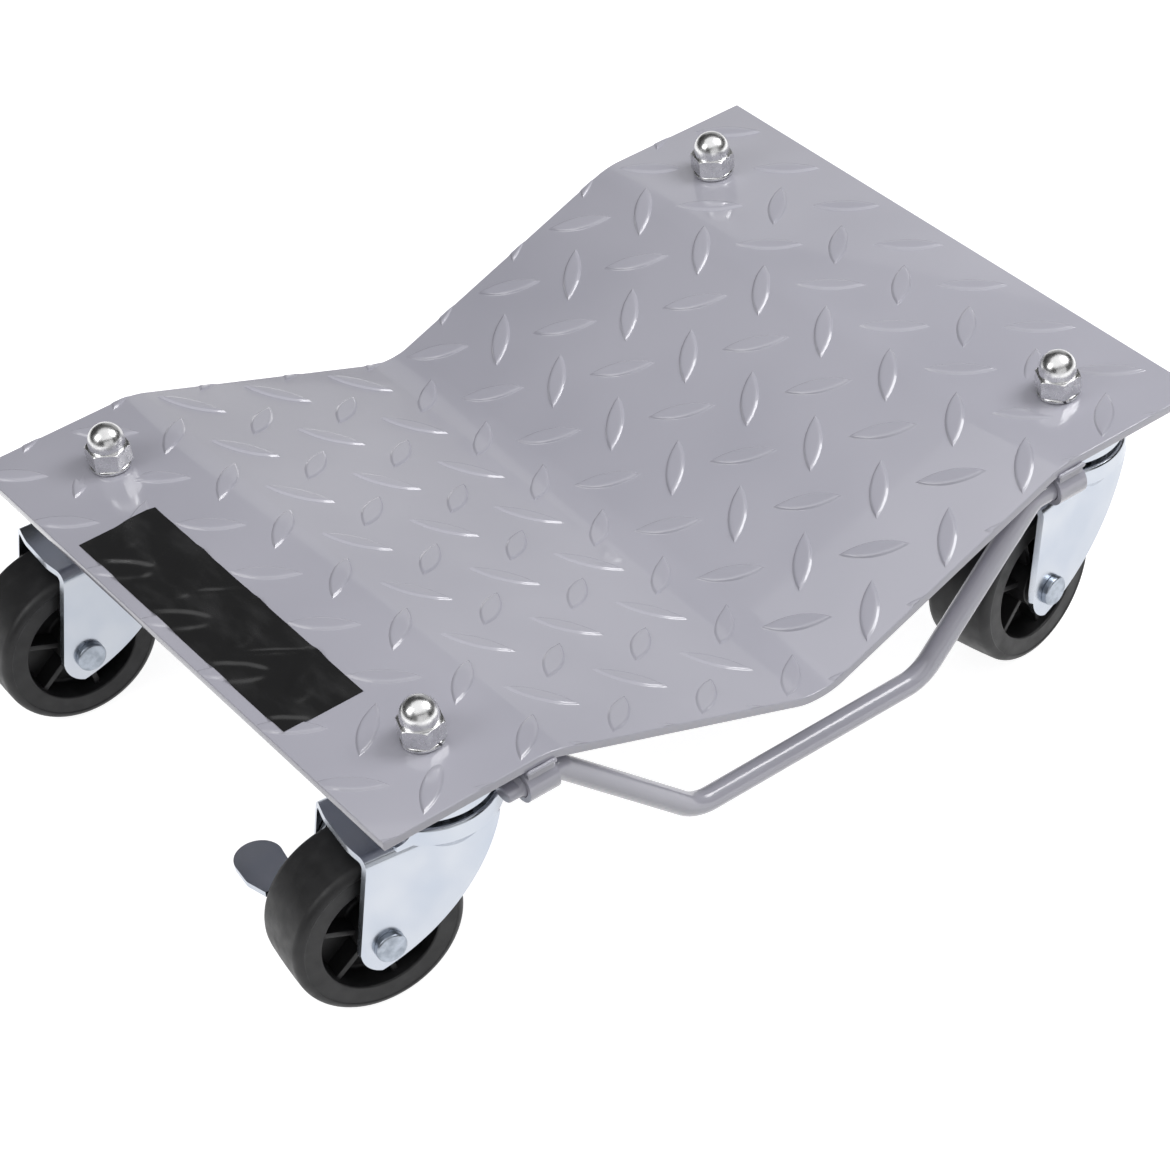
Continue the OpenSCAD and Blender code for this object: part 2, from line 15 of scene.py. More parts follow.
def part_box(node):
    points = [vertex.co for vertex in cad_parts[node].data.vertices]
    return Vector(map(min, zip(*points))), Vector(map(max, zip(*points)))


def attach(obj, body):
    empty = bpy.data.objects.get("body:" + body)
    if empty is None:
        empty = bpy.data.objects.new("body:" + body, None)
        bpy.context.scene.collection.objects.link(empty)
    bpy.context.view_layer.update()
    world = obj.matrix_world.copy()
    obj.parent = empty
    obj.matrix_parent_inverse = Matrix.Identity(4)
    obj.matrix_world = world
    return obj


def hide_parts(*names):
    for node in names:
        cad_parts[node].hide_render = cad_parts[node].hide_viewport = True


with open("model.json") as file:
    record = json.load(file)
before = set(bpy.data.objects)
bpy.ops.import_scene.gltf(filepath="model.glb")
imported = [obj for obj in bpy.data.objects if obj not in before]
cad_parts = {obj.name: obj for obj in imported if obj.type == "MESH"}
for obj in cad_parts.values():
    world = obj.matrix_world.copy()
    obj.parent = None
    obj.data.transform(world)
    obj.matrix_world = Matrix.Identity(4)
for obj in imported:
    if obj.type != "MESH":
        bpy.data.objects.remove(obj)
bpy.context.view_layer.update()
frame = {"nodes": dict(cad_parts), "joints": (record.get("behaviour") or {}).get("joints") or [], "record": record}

LOG = logging.getLogger("dolly")
MM = 0.001
SAME_SPOT = 0.001 * MM
FLAT_ANGLE = 0.4
CORNER_ANGLE = 60.0
CORNERS = ("left_near", "left_far", "right_near", "right_far")
BRAKED = ("left_near", "right_far")
BODY_OF = {node: body for body, nodes in frame["record"]["behaviour"]["bodies"].items() for node in nodes}


class Slot(Enum):
    """The record's material slots."""

    PAINT = "grey_paint"
    ZINC = "zinc_plate"
    CHROME = "chrome_nut"
    STEEL = "bearing_steel"
    WHEEL = "wheel_black"


class PlateSide(Enum):
    """Sides of the plate at which the tread is sheared off, as outward directions."""

    LEFT = (-1, 0)
    RIGHT = (1, 0)
    NEAR = (0, -1)
    FAR = (0, 1)


# Finishes


class NodeTree:
    """A material's node tree with short calls for the nodes that the finishes share."""

    # Places of the colour sockets of a mix node, which share their names with others
    MIX_LOW = 6
    MIX_HIGH = 7
    MIX_RESULT = 2

    def __init__(self, name: str) -> None:
        """Make an empty material with a Principled shader.

        Args:
            name: The material's name.
        """
        self.material = bpy.data.materials.new(name)
        self.material.use_nodes = True
        self.tree = self.material.node_tree
        self.shader = self.tree.nodes["Principled BSDF"]
        self.place = self.add("ShaderNodeTexCoord").outputs["Object"]

    def add(self, kind: str, **settings: object) -> bpy.types.Node:
        """Add one node.

        Args:
            kind: Blender's name of the node type.
            **settings: Attributes to set on the node.

        Returns:
            The new node.
        """
        node = self.tree.nodes.new(kind)
        for key, value in settings.items():
            setattr(node, key, value)
        return node

    def link(self, out: bpy.types.NodeSocket, into: bpy.types.NodeSocket) -> None:
        """Join an output to an input."""
        self.tree.links.new(out, into)

    def span(self, value: bpy.types.NodeSocket, source: tuple, target: tuple) -> bpy.types.NodeSocket:
        """Map a value from one range to another, held at the ends.

        Args:
            value: The socket to map.
            source: Lowest and highest value that come in.
            target: What they become.

        Returns:
            The mapped value.
        """
        node = self.add("ShaderNodeMapRange")
        for name, number in zip(("From Min", "From Max", "To Min", "To Max"), (*source, *target)):
            node.inputs[name].default_value = number
        self.link(value, node.inputs["Value"])
        return node.outputs["Result"]

    def mix(
        self, value: bpy.types.NodeSocket, edge: tuple, low: tuple, high: tuple,
    ) -> bpy.types.NodeSocket:
        """Two colours in soft patches.

        Args:
            value: The pattern, from 0 to 1.
            edge: The two values between which the colours change.
            low: Colour below the edge.
            high: Colour above it.

        Returns:
            The colour.
        """
        share = self.span(value, edge, (0.0, 1.0))
        node = self.add("ShaderNodeMix", data_type="RGBA")
        self.link(share, node.inputs["Factor"])
        node.inputs[self.MIX_LOW].default_value = (*low, 1.0)
        node.inputs[self.MIX_HIGH].default_value = (*high, 1.0)
        return node.outputs[self.MIX_RESULT]


@dataclass(frozen=True)
class Lumps:
    """Noise: size of its lumps, how many finer layers ride on it and how it is stretched."""

    size: float
    detail: float = 2.0
    stretch: tuple = (1, 1, 1)

    def lay(self, tree: NodeTree) -> bpy.types.NodeSocket:
        """Lay the noise in a tree.

        Args:
            tree: The material's tree.

        Returns:
            Its value, from 0 to 1.
        """
        mapping = tree.add("ShaderNodeMapping")
        mapping.inputs["Scale"].default_value = [1 / (self.size * s) for s in self.stretch]
        tree.link(tree.place, mapping.inputs["Vector"])
        texture = tree.add("ShaderNodeTexNoise")
        texture.inputs["Scale"].default_value = 1.0
        texture.inputs["Detail"].default_value = self.detail
        tree.link(mapping.outputs["Vector"], texture.inputs["Vector"])
        return texture.outputs["Fac"]


@dataclass(frozen=True)
class Nibs:
    """Dust under paint: how far apart its nibs lie, and the share of that which one takes up."""

    gap: float
    share: float

    def lay(self, tree: NodeTree) -> bpy.types.NodeSocket:
        """Lay the nibs in a tree.

        Args:
            tree: The material's tree.

        Returns:
            Their height, from 0 to 1.
        """
        texture = tree.add("ShaderNodeTexVoronoi")
        texture.inputs["Scale"].default_value = 1 / self.gap
        tree.link(tree.place, texture.inputs["Vector"])
        return tree.span(texture.outputs["Distance"], (0.0, self.share), (1.0, 0.0))


@dataclass(frozen=True)
class Relief:
    """A bump: its pattern, the height that 1 stands for and the share of the bump that is used."""

    pattern: Lumps | Nibs
    rise: float
    strength: float

    def lay(self, tree: NodeTree, after: bpy.types.NodeSocket | None) -> bpy.types.NodeSocket:
        """Lay the bump in a tree.

        Args:
            tree: The material's tree.
            after: The normal of an earlier bump, if there is one.

        Returns:
            The bent normal.
        """
        node = tree.add("ShaderNodeBump")
        node.inputs["Strength"].default_value = self.strength
        node.inputs["Distance"].default_value = self.rise
        tree.link(self.pattern.lay(tree), node.inputs["Height"])
        if after is not None:
            tree.link(after, node.inputs["Normal"])
        return node.outputs["Normal"]


@dataclass(frozen=True)
class Finish:
    """What the finishes share: two colours in soft patches, uneven gloss and bumps."""

    colour: tuple
    second: tuple
    patches: Lumps
    patch_edge: tuple
    roughness: tuple
    gloss: Lumps
    gloss_edge: tuple = (0.3, 0.7)
    reliefs: tuple = ()
    metallic: float = 0.0
    specular: float = 0.5
    coat: float = 0.0
    coat_roughness: float = 0.03

    def make(self, name: str) -> bpy.types.Material:
        """Build the material.

        Args:
            name: The material's name.

        Returns:
            The material.
        """
        tree = NodeTree(name)
        inputs = tree.shader.inputs
        colour = tree.mix(self.patches.lay(tree), self.patch_edge, self.colour, self.second)
        tree.link(colour, inputs["Base Color"])
        tree.link(tree.span(self.gloss.lay(tree), self.gloss_edge, self.roughness), inputs["Roughness"])
        normal = None
        for relief in self.reliefs:
            normal = relief.lay(tree, normal)
        if normal is not None:
            tree.link(normal, inputs["Normal"])
        inputs["Metallic"].default_value = self.metallic
        inputs["Specular IOR Level"].default_value = self.specular
        inputs["Coat Weight"].default_value = self.coat
        inputs["Coat Roughness"].default_value = self.coat_roughness
        return tree.material


@dataclass(frozen=True)
class GreyPaint(Finish):
    """Glossy light grey enamel with a faint orange peel, dust nibs and slow changes of shade."""

    colour: tuple = (0.462, 0.458, 0.520)
    second: tuple = (0.420, 0.417, 0.478)
    patches: Lumps = Lumps(90 * MM)
    patch_edge: tuple = (0.35, 0.7)
    roughness: tuple = (0.20, 0.25)
    gloss: Lumps = Lumps(35 * MM, 4.0)
    reliefs: tuple = (
        Relief(Lumps(2.4 * MM, 1.0), 0.12 * MM, 0.16), Relief(Nibs(11 * MM, 0.035), 0.3 * MM, 0.35),
    )
    coat: float = 0.75
    coat_roughness: float = 0.05


@dataclass(frozen=True)
class ZincPlate(Finish):
    """Bright bluish zinc on sheet steel: soft cloudy gloss and fine rolling marks."""

    colour: tuple = (0.470, 0.508, 0.575)
    second: tuple = (0.545, 0.572, 0.618)
    patches: Lumps = Lumps(26 * MM)
    patch_edge: tuple = (0.35, 0.65)
    roughness: tuple = (0.22, 0.26)
    gloss: Lumps = Lumps(12 * MM)
    reliefs: tuple = (
        Relief(Lumps(1.1 * MM, 1.0, (1, 1, 7)), 0.03 * MM, 0.06), Relief(Lumps(22 * MM, 1.0), 0.6 * MM, 0.06),
    )
    metallic: float = 1.0


@dataclass(frozen=True)
class ShadedRivetZinc(Finish):
    """Duller bluish zinc on upset rivet heads, its colour darkened as painted shade, with darker patches at
    random.
    """

    # Both colours are darker than the plate's zinc: painted shade over the whole head.
    colour: tuple = (0.400, 0.440, 0.500)
    second: tuple = (0.270, 0.300, 0.345)
    patches: Lumps = Lumps(4 * MM, 3.0)
    patch_edge: tuple = (0.4, 0.65)
    roughness: tuple = (0.26, 0.36)
    gloss: Lumps = Lumps(4 * MM, 3.0)
    reliefs: tuple = (Relief(Lumps(1.4 * MM), 0.05 * MM, 0.15),)
    metallic: float = 1.0


@dataclass(frozen=True)
class ChromeNut(Finish):
    """Polished nickel-chrome on a turned nut, with fine turning marks."""

    colour: tuple = (0.82, 0.82, 0.825)
    second: tuple = (0.70, 0.70, 0.705)
    patches: Lumps = Lumps(5 * MM, 4.0)
    patch_edge: tuple = (0.4, 0.7)
    roughness: tuple = (0.23, 0.32)
    gloss: Lumps = Lumps(3 * MM, 4.0)
    gloss_edge: tuple = (0.35, 0.7)
    reliefs: tuple = (Relief(Lumps(1.8 * MM, 2.0, (6, 6, 1)), 0.03 * MM, 0.06),)
    metallic: float = 1.0


@dataclass(frozen=True)
class BearingSteel(Finish):
    """Ground and lightly oiled steel of the balls and sleeves."""

    colour: tuple = (0.56, 0.56, 0.57)
    second: tuple = (0.40, 0.39, 0.37)
    patches: Lumps = Lumps(4 * MM, 3.0)
    patch_edge: tuple = (0.45, 0.7)
    roughness: tuple = (0.10, 0.28)
    gloss: Lumps = Lumps(4 * MM, 3.0)
    metallic: float = 1.0


@dataclass(frozen=True)
class WheelBlack(Finish):
    """Moulded black polypropylene: satin, finely grained, a little scuffed on the running face."""

    colour: tuple = (0.013, 0.013, 0.014)
    second: tuple = (0.023, 0.023, 0.024)
    patches: Lumps = Lumps(9 * MM, 6.0)
    patch_edge: tuple = (0.48, 0.72)
    roughness: tuple = (0.40, 0.56)
    gloss: Lumps = Lumps(6 * MM, 4.0)
    reliefs: tuple = (Relief(Lumps(0.7 * MM), 0.06 * MM, 0.35), Relief(Lumps(20 * MM), 0.4 * MM, 0.15))
    specular: float = 0.42


@dataclass(frozen=True)
class BlankVinyl(Finish):
    """Glossy black sticker film, left blank, with faint handling marks."""

    colour: tuple = (0.015, 0.015, 0.0155)
    second: tuple = (0.030, 0.030, 0.031)
    patches: Lumps = Lumps(10 * MM, 5.0, (1, 3, 1))
    patch_edge: tuple = (0.5, 0.75)
    roughness: tuple = (0.16, 0.28)
    gloss: Lumps = Lumps(10 * MM, 5.0, (1, 3, 1))
    reliefs: tuple = (Relief(Lumps(1.5 * MM), 0.04 * MM, 0.2),)
    coat: float = 0.3
    coat_roughness: float = 0.15


def report(piece: bpy.types.Object) -> None:
    """Log a finished piece and its number of faces."""
    LOG.info("%s: %d faces", piece.name, len(piece.data.polygons))


class Paintbox:
    """Makes each finish once and hands it out."""

    def __init__(self) -> None:
        """Build every finish."""
        finishes = {
            Slot.PAINT: GreyPaint(), Slot.ZINC: ZincPlate(), Slot.CHROME: ChromeNut(),
            Slot.STEEL: BearingSteel(), Slot.WHEEL: WheelBlack(),
        }
        self.by_slot = {slot: finish.make(slot.value) for slot, finish in finishes.items()}
        # The rivet heads' zinc is darkened as painted shade.
        self.rivet = ShadedRivetZinc().make("rivet_zinc_painted_shade")
        self.vinyl = BlankVinyl().make("sticker_vinyl")

    def dress(self, piece: bpy.types.Object, slot: Slot, finish: bpy.types.Material | None = None) -> None:
        """Give a finished piece its surface and log it.

        Args:
            piece: The piece to dress.
            slot: The record's slot that the finish belongs to.
            finish: A finish in place of the slot's usual one.
        """
        piece.data.materials.clear()
        piece.data.materials.append(finish or self.by_slot[slot])
        report(piece)


# Shared making


def shade(mesh: bpy.types.Mesh, angle: float) -> None:
    """Shade a mesh smoothly, with edges sharper than an angle in degrees kept crisp."""
    mesh.shade_smooth()
    mesh.set_sharp_from_angle(angle=math.radians(angle))


def as_piece(bm: bmesh.types.BMesh, name: str, angle: float = 40.0) -> bpy.types.Object:
    """Turn a bmesh into an object at the origin.

    Args:
        bm: The finished bmesh, which is freed.
        name: The piece's name.
        angle: Edges sharper than this stay crisp, in degrees.

    Returns:
        The new object.
    """
    mesh = bpy.data.meshes.new(name)
    bm.to_mesh(mesh)
    bm.free()
    shade(mesh, angle)
    piece = bpy.data.objects.new(name, mesh)
    bpy.context.scene.collection.objects.link(piece)
    return piece


def sharp_edges(bm: bmesh.types.BMesh, angle: float) -> list:
    """Edges between two faces that meet at more than an angle in degrees."""
    limit = math.radians(angle)
    return [edge for edge in bm.edges if edge.is_manifold and edge.calc_face_angle(0.0) > limit]


def break_edges(bm: bmesh.types.BMesh, edges: list, radius: float, segments: int = 2) -> None:
    """Round edges to a small radius, as plating and paint leave them.

    Args:
        bm: The bmesh that holds them.
        edges: The edges to round.
        radius: Radius of the rounding in metres.
        segments: Number of facets across it.
    """
    bmesh.ops.bevel(
        bm, geom=edges, offset=radius, offset_type="OFFSET", affect="EDGES", segments=segments,
        profile=0.5, clamp_overlap=True, material=-1, loop_slide=True,
    )


def even_normals(piece: bpy.types.Object) -> None:
    """Let the large faces rule the shading, so that flats stay flat beside their broken edges.

    Args:
        piece: The piece that is shaded so.
    """
    weigh = piece.modifiers.new("even_normals", "WEIGHTED_NORMAL")
    weigh.keep_sharp = True
    weigh.weight = 90


def eased(share: float) -> float:
    """A share held between 0 and 1, with a soft start and a soft end."""
    share = min(max(share, 0.0), 1.0)
    return share * share * (3 - 2 * share)


def towards(azimuth: float, elevation: float) -> Vector:
    """The direction out from the dolly at an azimuth and an elevation.

    Args:
        azimuth: Angle from the near side towards +x, in degrees.
        elevation: Angle above the floor, in degrees.

    Returns:
        The direction, of length 1.
    """
    a = math.radians(azimuth)
    e = math.radians(elevation)
    return Vector((math.sin(a) * math.cos(e), -math.cos(a) * math.cos(e), math.sin(e)))


def turned_to(axis: Vector) -> Matrix:
    """A turn that takes x to the trail, y to straight up and z to the far side of an axle.

    Args:
        axis: The axle's direction, towards the near side.

    Returns:
        The turn as a 4 by 4 matrix.
    """
    up = Vector((0, 0, 1))
    back = axis.cross(up)
    return Matrix((back, up, back.cross(up))).transposed().to_4x4()


def lathe(bm: bmesh.types.BMesh, outline: list, steps: int) -> None:
    """Turn a closed outline round the z axis.

    Args:
        bm: The bmesh that takes the shape.
        outline: Points of radius and height, in order.
        steps: Number of steps in the full turn.
    """
    ring = [bm.verts.new((radius, 0, height)) for radius, height in outline]
    edges = [bm.edges.new(pair) for pair in zip(ring, ring[1:] + ring[:1])]
    bmesh.ops.spin(
        bm, geom=ring + edges, cent=(0, 0, 0), axis=(0, 0, 1), angle=math.tau, steps=steps,
        use_merge=True, use_duplicate=False,
    )
    bmesh.ops.remove_doubles(bm, verts=bm.verts, dist=SAME_SPOT)
    bmesh.ops.recalc_face_normals(bm, faces=bm.faces)


def arc(centre: tuple, radius: float, start: float, end: float, steps: int) -> list:
    """Points on an arc.

    Args:
        centre: Its centre.
        radius: Its radius.
        start: Angle of the first point, in degrees.
        end: Angle of the last point, in degrees.
        steps: Number of steps between them.

    Returns:
        The points, ends included.
    """
    turns = [math.radians(start + (end - start) * k / steps) for k in range(steps + 1)]
    return [(centre[0] + radius * math.cos(t), centre[1] + radius * math.sin(t)) for t in turns]


def node_copy(node: str) -> bmesh.types.BMesh:
    """A copy of a CAD node's mesh with its corners merged and its flats made whole.

    Args:
        node: The CAD node.

    Returns:
        The copy.
    """
    bm = bmesh.new()
    bm.from_mesh(frame["nodes"][node].data)
    bmesh.ops.remove_doubles(bm, verts=bm.verts, dist=SAME_SPOT)
    bmesh.ops.dissolve_limit(
        bm, angle_limit=math.radians(FLAT_ANGLE), use_dissolve_boundaries=False,
        verts=bm.verts, edges=bm.edges, delimit=set(),
    )
    return bm


def softened(node: str, name: str, radius: float, crease: float = 30.0) -> bpy.types.Object:
    """A CAD node with its sharp edges broken, which takes the node's place on its body.

    Args:
        node: The CAD node.
        name: The new piece's name.
        radius: Radius of the broken edges in metres.
        crease: Edges sharper than this are broken, in degrees.

    Returns:
        The new piece.
    """
    bm = node_copy(node)
    break_edges(bm, sharp_edges(bm, crease), radius)
    piece = as_piece(bm, name)
    even_normals(piece)
    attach(piece, BODY_OF[node])
    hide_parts(node)
    return piece


# Deck


@dataclass(frozen=True)
class Crease:
    """One fold across the sticker's film: where it crosses the middle, how it leans, its height and width."""

    across: float
    lean: float
    rise: float
    wide: float


@dataclass(frozen=True)
class WeldRow:
    """One row of weld ripples: its distance in from the barrel's near side, its radius and its number."""

    inward: float
    radius: float
    count: int


@dataclass
class TreadDeck:
    """The folded tread plate, its two welded barrels and the blank sticker on its left end."""

    paintbox: Paintbox
    flat: float = 76 * MM
    valley_drop: float = 47 * MM
    thick: float = 4 * MM
    valley_r: float = 28 * MM
    ridge_r: float = 35 * MM
    edge_r: float = 0.6 * MM
    edge_segments: int = 3
    arc_steps: int = 16
    tread_room: float = 1.2 * MM
    lozenge_h: float = 0.9 * MM
    lozenge_l: float = 29 * MM
    lozenge_w: float = 7.5 * MM
    lozenge_steps: int = 12
    lozenge_rings: tuple = (
        (0.7 * MM, -0.14), (0.35 * MM, 0.05), (0.06 * MM, 0.32), (-0.26 * MM, 0.70),
        (-0.7 * MM, 0.92), (-1.3 * MM, 0.99), (-2.4 * MM, 1.0),
    )
    pitch_x: float = 44 * MM
    pitch_y: float = 42.4 * MM
    leaning: tuple = (-4.5 * MM, 73.2 * MM, 44.0)
    level: tuple = (17.5 * MM, 52 * MM, -44.0)
    columns: range = range(-5, 5)
    rows: range = range(-5, 3)
    shear_in: float = 0.24 * MM
    bolt_x: float = 159.5 * MM
    bolt_y: float = 115 * MM
    bolt_flat: tuple = (14 * MM, 20 * MM)
    bolt_bare: float = 11 * MM
    pressed_sink: float = 0.3 * MM
    edge_roll: float = 3.5 * MM
    edge_left: float = 0.25
    label_x: tuple = (-197.4 * MM, -161 * MM)
    label_y: tuple = (-77 * MM, 77 * MM)
    label_lift: float = 0.12 * MM
    film_drop: float = 10 * MM
    film_t: float = 0.1 * MM
    film_grid: tuple = (44, 180)
    film_tent: int = 3
    film_smooth: int = 10
    creases: tuple = (
        Crease(-56 * MM, 0.5, 0.55 * MM, 2.6 * MM), Crease(-30 * MM, -0.8, 0.50 * MM, 2.2 * MM),
        Crease(18 * MM, -0.7, 0.45 * MM, 3.0 * MM), Crease(45 * MM, 0.35, 0.40 * MM, 2.2 * MM),
    )
    crease_middle: float = 6 * MM
    crease_reach: float = 22 * MM
    ripple_rise: float = 0.25 * MM
    ripples_per_metre: float = 90.0
    barrel_edge_r: float = 0.7 * MM
    bead_end: float = 1.2 * MM
    bead_sink: float = 0.5 * MM
    bead_wander: float = 0.15 * MM
    bead_shape: tuple = (1.0, 0.8, 0.9)
    bead_unevenness: float = 0.18
    bead_pattern: tuple = (1.7, 900.0, 40.0)
    bead_rows: tuple = (WeldRow(1.3 * MM, 1.2 * MM, 16), WeldRow(10.4 * MM, 1.9 * MM, 8))
    low: Vector = field(default_factory=lambda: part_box("deck_plate")[0])
    high: Vector = field(default_factory=lambda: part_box("deck_plate")[1])

    def __post_init__(self) -> None:
        """Work out the deck's middle, top and slope from the frame."""
        self.length = self.high.x - self.low.x
        self.width = self.high.y - self.low.y
        self.middle = Vector(((self.low.x + self.high.x) / 2, (self.low.y + self.high.y) / 2, 0.0))
        self.top = self.high.z - self.tread_room
        self.fold_x = self.length / 2 - self.flat
        self.slope = math.atan(self.valley_drop / self.fold_x)
        self.slope_l = self.fold_x / math.cos(self.slope)

    def skin(self) -> bmesh.types.BMesh:
        """The plate's top skin as one bent strip, from fold lines that are rounded by bevels.

        Returns:
            The skin.
        """
        bm = bmesh.new()
        fold = self.fold_x
        stops = (-self.length / 2, -fold, 0.0, fold, self.length / 2)
        near = []
        for x in stops:
            z = self.top - (self.valley_drop if x == 0.0 else 0.0)
            near.append(bm.verts.new(self.middle + Vector((x, -self.width / 2, z))))
        lines = [bm.edges.new(pair) for pair in zip(near, near[1:])]
        out = bmesh.ops.extrude_edge_only(bm, edges=lines)
        moved = [item for item in out["geom"] if isinstance(item, bmesh.types.BMVert)]
        bmesh.ops.translate(bm, verts=moved, vec=(0, self.width, 0))
        for x, radius in ((-fold, self.ridge_r), (0.0, self.valley_r), (fold, self.ridge_r)):
            turn = 2 * self.slope if x == 0.0 else self.slope
            folds = [e for e in bm.edges if all(abs(v.co.x - self.middle.x - x) < MM for v in e.verts)]
            bmesh.ops.bevel(
                bm, geom=folds, offset=radius * math.tan(turn / 2), offset_type="OFFSET", affect="EDGES",
                segments=self.arc_steps, profile=0.5, clamp_overlap=False, material=-1,
            )
        bmesh.ops.recalc_face_normals(bm, faces=bm.faces)
        if sum(face.normal.z for face in bm.faces) < 0:
            bmesh.ops.reverse_faces(bm, faces=bm.faces)
        return bm

    def runs(self, skin: bmesh.types.BMesh) -> list:
        """The straight runs of the skin's section, from left to right.

        Args:
            skin: The plate's top skin.

        Returns:
            Start, direction and length of each run, in x and z.
        """
        stops = sorted((vert.co.x, vert.co.z) for vert in skin.verts if vert.co.y < self.middle.y)
        found = []
        for (x, z), (next_x, next_z) in zip(stops, stops[1:]):
            long = math.hypot(next_x - x, next_z - z)
            found.append((x, z, (next_x - x) / long, (next_z - z) / long, long))
        return found

    def laid(self, runs: list, flat: Vector, lift: float) -> Vector:
        """Lay a point on the skin, at the skin's nearest place.

        Args:
            runs: The runs of the skin's section.
            flat: The point.
            lift: Height above the skin.

        Returns:
            The place at that height.
        """
        flat_x, flat_y, flat_z = flat
        least = math.inf
        for x, z, along_x, along_z, long in runs:
            step = min(max((flat_x - x) * along_x + (flat_z - z) * along_z, 0.0), long)
            near_x = x + step * along_x
            near_z = z + step * along_z
            gap = math.hypot(near_x - flat_x, near_z - flat_z)
            if gap < least:
                least = gap
                place = (near_x - along_z * lift, flat_y, near_z + along_x * lift)
        return Vector(place)

    def plate(self) -> bpy.types.Object:
        """The plate with its thickness, its rounded edges and its tread.

        Returns:
            The plate.
        """
        bm = self.skin()
        runs = self.runs(bm)
        bmesh.ops.solidify(bm, geom=bm.faces[:], thickness=self.thick)
        bmesh.ops.recalc_face_normals(bm, faces=bm.faces)
        break_edges(bm, sharp_edges(bm, CORNER_ANGLE), self.edge_r, self.edge_segments)
        tread = self.tread(runs)
        mesh = bpy.data.meshes.new("tread_patch")
        tread.to_mesh(mesh)
        tread.free()
        bm.from_mesh(mesh)
        bpy.data.meshes.remove(mesh)
        piece = as_piece(bm, "painted_tread_plate")
        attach(piece, BODY_OF["deck_plate"])
        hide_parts("deck_plate")
        return piece

    def lozenge(self) -> bmesh.types.BMesh:
        """One raised lozenge on a flat plane, in rings from its soft foot over a shoulder to the top.

        Returns:
            The lozenge.
        """
        bm = bmesh.new()
        side_r = (self.lozenge_l ** 2 + self.lozenge_w ** 2) / (4 * self.lozenge_w)
        half_turn = math.asin(self.lozenge_l / 2 / side_r)
        start = bm.verts.new((-self.lozenge_l / 2, 0, 0))
        centre = Vector((0, self.lozenge_w / 2 - side_r, 0))
        bmesh.ops.spin(
            bm, geom=[start], cent=centre, axis=(0, 0, -1), angle=2 * half_turn, steps=self.lozenge_steps,
        )
        bmesh.ops.mirror(bm, geom=bm.verts[:] + bm.edges[:], axis="Y", merge_dist=10 * SAME_SPOT)
        bmesh.ops.remove_doubles(bm, verts=bm.verts, dist=10 * SAME_SPOT)
        bmesh.ops.contextual_create(bm, geom=bm.edges[:])
        face = bm.faces[:][0]
        if face.normal.z < 0:
            face.normal_flip()
        sharpness = math.sin(half_turn)
        old = Vector((1.0, 1.0, 1.0))
        for number, (out, rise) in enumerate(self.lozenge_rings):
            if number:
                bmesh.ops.inset_individual(bm, faces=[face], thickness=0.0)
            long = (self.lozenge_l / 2 + out / sharpness) / (self.lozenge_l / 2)
            wide = (self.lozenge_w / 2 + out) / (self.lozenge_w / 2)
            bmesh.ops.scale(bm, verts=face.verts, vec=(long / old.x, wide / old.y, 1.0))
            for vert in face.verts:
                vert.co.z = rise * self.lozenge_h
            old = Vector((long, wide, 1.0))
        bmesh.ops.holes_fill(bm, edges=[edge for edge in bm.edges if edge.is_boundary], sides=0)
        bmesh.ops.recalc_face_normals(bm, faces=bm.faces)
        return bm

    def places(self) -> list:
        """Lay out the two sets of lozenges.

        Returns:
            Developed length, crosswise place and lean in degrees of each one.
        """
        found = []
        for along, across, lean in (self.leaning, self.level):
            for i in self.columns:
                for j in self.rows:
                    found.append((along + i * self.pitch_x, across + j * self.pitch_y, lean))
        return found

    def unfolded(self, s: float) -> tuple:
        """A place on the sharp-folded plate.

        Args:
            s: Developed length from the valley's fold line.

        Returns:
            The place in the deck's own middle plane and the direction along the plate there.
        """
        side = -1.0 if s < 0 else 1.0
        if abs(s) > self.slope_l:
            return Vector((side * (self.fold_x + abs(s) - self.slope_l), 0, self.top)), Vector((1, 0, 0))
        rise = abs(s) * math.sin(self.slope)
        along = Vector((math.cos(self.slope), 0, side * math.sin(self.slope)))
        return Vector((s * math.cos(self.slope), 0, self.top - self.valley_drop + rise)), along

    def tread(self, runs: list) -> bmesh.types.BMesh:
        """Every lozenge, laid on the skin and sheared off at the plate's edges.

        Args:
            runs: The runs of the skin's section.

        Returns:
            The lozenges as one bmesh.
        """
        pattern = self.lozenge()
        mesh = bpy.data.meshes.new("lozenge")
        pattern.to_mesh(mesh)
        pattern.free()
        bm = bmesh.new()
        for s, y, lean in self.places():
            spot, along = self.unfolded(s)
            if self.bolt_gap(self.middle + spot + Vector((0, y, 0))) < self.bolt_bare:
                continue
            count = len(bm.verts)
            bm.from_mesh(mesh)
            bm.verts.ensure_lookup_table()
            turned = Matrix.Rotation(math.radians(lean), 3, "Z")
            for vert in bm.verts[count:]:
                local = turned @ vert.co
                flat = self.middle + spot + along * local.x + Vector((0, y + local.y, 0))
                left = self.pressed(flat)
                lift = local.z * left * self.rolled(flat) - self.pressed_sink * (1 - left)
                vert.co = self.laid(runs, flat, lift)
        bpy.data.meshes.remove(mesh)
        for side in PlateSide:
            out = Vector((*side.value, 0))
            reach = (self.length if side.value[0] else self.width) / 2 - self.shear_in
            cut = bmesh.ops.bisect_plane(
                bm, geom=bm.verts[:] + bm.edges[:] + bm.faces[:], dist=SAME_SPOT,
                plane_co=self.middle + out * reach, plane_no=out, clear_outer=True,
            )
            rim = [item for item in cut["geom_cut"] if isinstance(item, bmesh.types.BMEdge)]
            walls = bmesh.ops.holes_fill(bm, edges=rim, sides=0)["faces"]
            bmesh.ops.reverse_faces(bm, faces=[wall for wall in walls if wall.normal.dot(out) < 0])
        return bm

